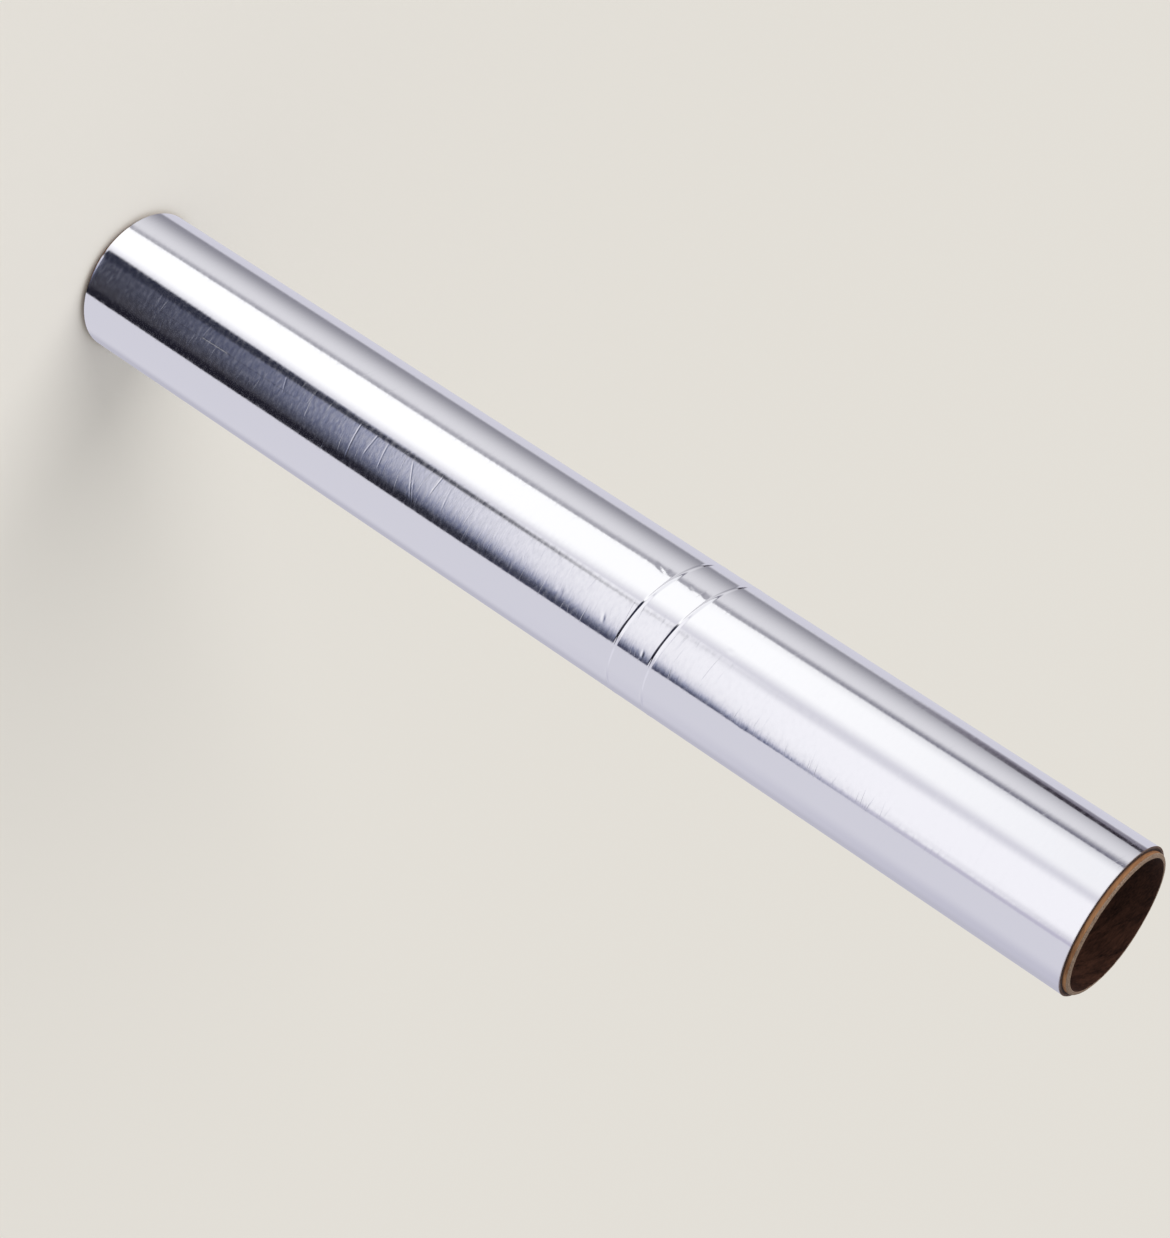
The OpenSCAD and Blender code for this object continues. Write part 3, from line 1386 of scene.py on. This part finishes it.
@dataclass
class Studio:
    """A plain pale floor, soft even light, and the cards that the foil mirrors."""

    floor_half_side: float = 6000.0
    floor_colour: Colour = screen_colour(236, 232, 224)
    room_light: float = 0.62
    backdrop: Colour = screen_colour(228, 224, 217)
    key_strength: float = 1.5
    key_softness: float = 50.0
    key_from: tuple[float, float, float] = (-0.75, -0.45, 0.7)
    # Makes up for the tenth of the light that the foil keeps
    mirrored_gain: float = 1.0 / 0.9
    walls: Colour = screen_colour(208, 207, 216)
    cards: tuple[Union[StudioCard, DarkFlag], ...] = (
        StudioCard(-75, 20, (243, 242, 246)),
        StudioCard(-75, -49.5, (180, 178, 191), end_fade=17),
        StudioCard(-3.5, 22, (211, 210, 218), start_fade=12, start_lean=0.85),
        DarkFlag(
            start=-75,
            end=11,
            side_fade=2.5,
            edge=-31.0,
            edge_rise=10.8,
            rise_width=60,
            tones=(
                (-7, (57, 56, 63)),
                (-4.2, (62, 64, 77)),
                (-2, (84, 88, 110)),
                (0, (122, 127, 152)),
                (1.2, (175, 177, 195)),
                (2.6, (217, 216, 225)),
                (5, (236, 235, 239)),
                (9, (243, 242, 246)),
            ),
        ),
        StudioCard(-75, -48.5, (30, 29, 38), end_fade=9, high=-27.5, high_fade=7),
        StudioCard(-75, -57, (56, 58, 80), end_fade=5, low=-27.5, high=-22.6, high_fade=3.5),
        StudioCard(-66, -53.5, (186, 183, 199), end_fade=5, low=-19.5, low_fade=4),
        StudioCard(-200, -61.5, (207, 206, 215), end_fade=1.8, end_lean=0.2),
        StudioCard(-200, -112, (190, 189, 202), end_fade=30, low=-22, low_fade=14),
        StudioCard(-200, -140, (182, 181, 193), end_fade=24),
        StudioCard(17, 67.6, (257, 257, 257), start_fade=17, end_fade=2.5, end_lean=0.55, high=-25.8),
        StudioCard(19, 68.2, (254, 254, 254), 19, 2.5, start_lean=0.2, end_lean=0.15, low=-27.8),
        StudioCard(19, 68.2, (238, 238, 241), 19, 2.5, 0.2, 0.15, low=-18.5, low_fade=12),
        StudioCard(2.6, 8, (44, 46, 60), 3, 4, 0.5, -0.65, high=-26, high_fade=6),
        StudioCard(67.3, 140, (216, 215, 219), 2.5, 8, start_lean=0.4),
        StudioCard(104, 131, (138, 137, 146), 50, 10, 0.4, -0.15),
        StudioCard(76, 122, (228, 228, 233), 8, 6, low=-8, low_fade=8),
        StudioCard(65.5, 73, (160, 159, 167), 2, 9, 0.4, 0.5),
        StudioCard(67.6, 72, (106, 105, 119), 1.6, 7, 0.2, 0.2, low=-20.5, low_fade=9),
        StudioCard(131, 200, (203, 202, 213), start_fade=10),
        StudioCard(126, 142, (126, 122, 134), 4, 8, -1, -1, -19.2, 1.5, high=-12, high_fade=1),
        StudioCard(123.7, 148.4, (42, 36, 46), 3, 4, -0.9, -2.2, -17.8, 3, high=-12, high_fade=1),
        StudioCard(62, 68.2, (200, 200, 205), 20, 2.5, 0.2, 0.15, low=-20.5, low_fade=12),
        StudioCard(173, 200, (182, 181, 193), start_fade=14),
        StudioCard(-148, -66, (217, 216, 225), 6, 4, low=-5, low_fade=8),
        StudioCard(166, 200, (70, 72, 82), 6, low=-11, low_fade=3),
        StudioCard(-200, -166, (70, 72, 82), end_fade=6, low=-11, low_fade=3),
    )

    def build(self) -> None:
        """Sets up the floor, the lamp and the world."""
        self.lay_floor()
        self.hang_key()
        self.light_room()

    def lay_floor(self) -> None:
        """Lays the floor, which catches the roll's shadow and isn't mirrored in the foil."""
        mesh = bmesh.new()
        bmesh.ops.create_grid(mesh, x_segments=1, y_segments=1, size=self.floor_half_side * MM)
        data = bpy.data.meshes.new("floor")
        mesh.to_mesh(data)
        mesh.free()
        material, bench = new_material("floor_paint")
        paint = {"Base Color": self.floor_colour, "Roughness": 1.0, "Specular IOR Level": 0.0}
        bench.surface(paint)
        data.materials.append(material)
        floor = bpy.data.objects.new("floor", data)
        floor.visible_glossy = False
        bpy.context.scene.collection.objects.link(floor)

    def hang_key(self) -> None:
        """Hangs one very soft key lamp, which the foil doesn't mirror."""
        lamp = bpy.data.lights.new("soft_key", "SUN")
        lamp.energy = self.key_strength
        lamp.angle = math.radians(self.key_softness)
        holder = bpy.data.objects.new("soft_key", lamp)
        holder.rotation_mode = "QUATERNION"
        holder.rotation_quaternion = Vector(self.key_from).to_track_quat("Z", "Y")
        holder.visible_glossy = False
        bpy.context.scene.collection.objects.link(holder)

    def light_room(self) -> None:
        """Makes the world: even light for matt surfaces, and the cards for polished ones."""
        world = bpy.data.worlds.new("studio")
        bpy.context.scene.world = world
        world.use_nodes = True
        # The even light has no bright places, so it needs no map of them
        world.cycles.sampling_method = "NONE"
        bench = NodeBench(world.node_tree)
        towards = bench.node("ShaderNodeTexCoord").outputs["Generated"]
        apart = bench.node("ShaderNodeSeparateXYZ", {0: towards}).outputs
        away = [bench.math("MULTIPLY", part, -1.0) for part in apart[:2]]
        azimuth = bench.math("DEGREES", bench.math("ARCTAN2", away[0], away[1]))
        elevation = bench.math("DEGREES", bench.math("ARCSINE", apart[2]))
        seen = self.walls
        for card in self.cards:
            seen = card.paint(bench, azimuth, elevation, seen)
        ray = bench.node("ShaderNodeLightPath").outputs
        even = (self.room_light, self.room_light, self.room_light, 1.0)
        plain = bench.blend(ray["Is Camera Ray"], even, self.backdrop)
        polished = bench.math("MAXIMUM", ray["Is Glossy Ray"], ray["Is Transmission Ray"])
        room = bench.node("ShaderNodeBackground", {0: plain})
        mirrored = bench.node("ShaderNodeBackground", {0: seen, 1: self.mirrored_gain})
        both = {0: polished, 1: room.outputs[0], 2: mirrored.outputs[0]}
        light = bench.node("ShaderNodeMixShader", both)
        bench.node("ShaderNodeOutputWorld", {"Surface": light.outputs[0]})


@dataclass(frozen=True)
class PhotoCamera:
    """The camera of the photograph, found by fitting the roll's outlines."""

    stand_off: float = 658.0
    height: float = 473.2
    turned_right: float = 0.755
    tilted_down: float = 25.575
    rolled: float = 123.72
    focal_length: float = 91.3
    sensor_width: float = 36.0

    def build(self) -> None:
        """Sets up the camera and makes it the scene's own."""
        data = bpy.data.cameras.new("photo_camera")
        data.lens = self.focal_length
        data.sensor_width = self.sensor_width
        data.clip_start = 0.01
        data.clip_end = 50.0
        camera = bpy.data.objects.new("photo_camera", data)
        bpy.context.scene.collection.objects.link(camera)
        level = Matrix.Rotation(math.radians(90.0 - self.tilted_down), 4, "X")
        turned = Matrix.Rotation(math.radians(-self.turned_right), 4, "Z") @ level
        rolled = turned @ Matrix.Rotation(math.radians(self.rolled), 4, "Z")
        camera.matrix_world = Matrix.Translation((0.0, -self.stand_off * MM, self.height * MM)) @ rolled
        bpy.context.scene.camera = camera


def report_piece(piece: bpy.types.Object) -> None:
    """Logs a finished piece with its size.

    Args:
        piece: The finished object.
    """
    piece.data.calc_loop_triangles()
    sides = " x ".join(f"{side / MM:.2f}" for side in piece.dimensions)
    LOG.info("%s: %d triangles, %s mm", piece.name, len(piece.data.loop_triangles), sides)


def main() -> None:
    """Builds the camera, the studio and the two pieces of the roll."""
    logging.basicConfig(level=logging.INFO, format="%(name)s: %(message)s")
    bpy.context.scene.view_settings.view_transform = "Standard"
    PhotoCamera().build()
    Studio().build()
    sizes = RollSizes.from_frame()
    core = CardboardCore(sizes)
    outer_ply = Paper(
        "core_outer_ply",
        screen_colour(175, 128, 90),
        screen_colour(126, 86, 58),
        # Painted shade in the corner where the core leaves the web's upper edge
        shaded_heights=(sizes.foil_high,),
    )
    # Dark brown liner paper, painted darker still as the shade deep inside the bore
    liner = Paper(
        "core_liner",
        screen_colour(72, 45, 34),
        screen_colour(24, 10, 6),
        fibre_size=(0.9, 0.45, 1.0),
        cloud_size=(3.5, 2.5, 5.0),
    )
    cut = CutPlies(sizes.bore_radius, sizes.core_radius - sizes.bore_radius)
    report_piece(core.build(outer_ply.make(), cut.make(), liner.make()))
    foil = WoundFoil(sizes)
    skin = FoilSkin(foil.tail_direction, foil.middle_radius, sizes.foil_low)
    edge = FoilCutEdge(sizes.core_radius, foil.middle_radius)
    report_piece(foil.build(skin.make(), edge.make()))
    bpy.context.view_layer.update()


if __name__ == "__main__":
    main()
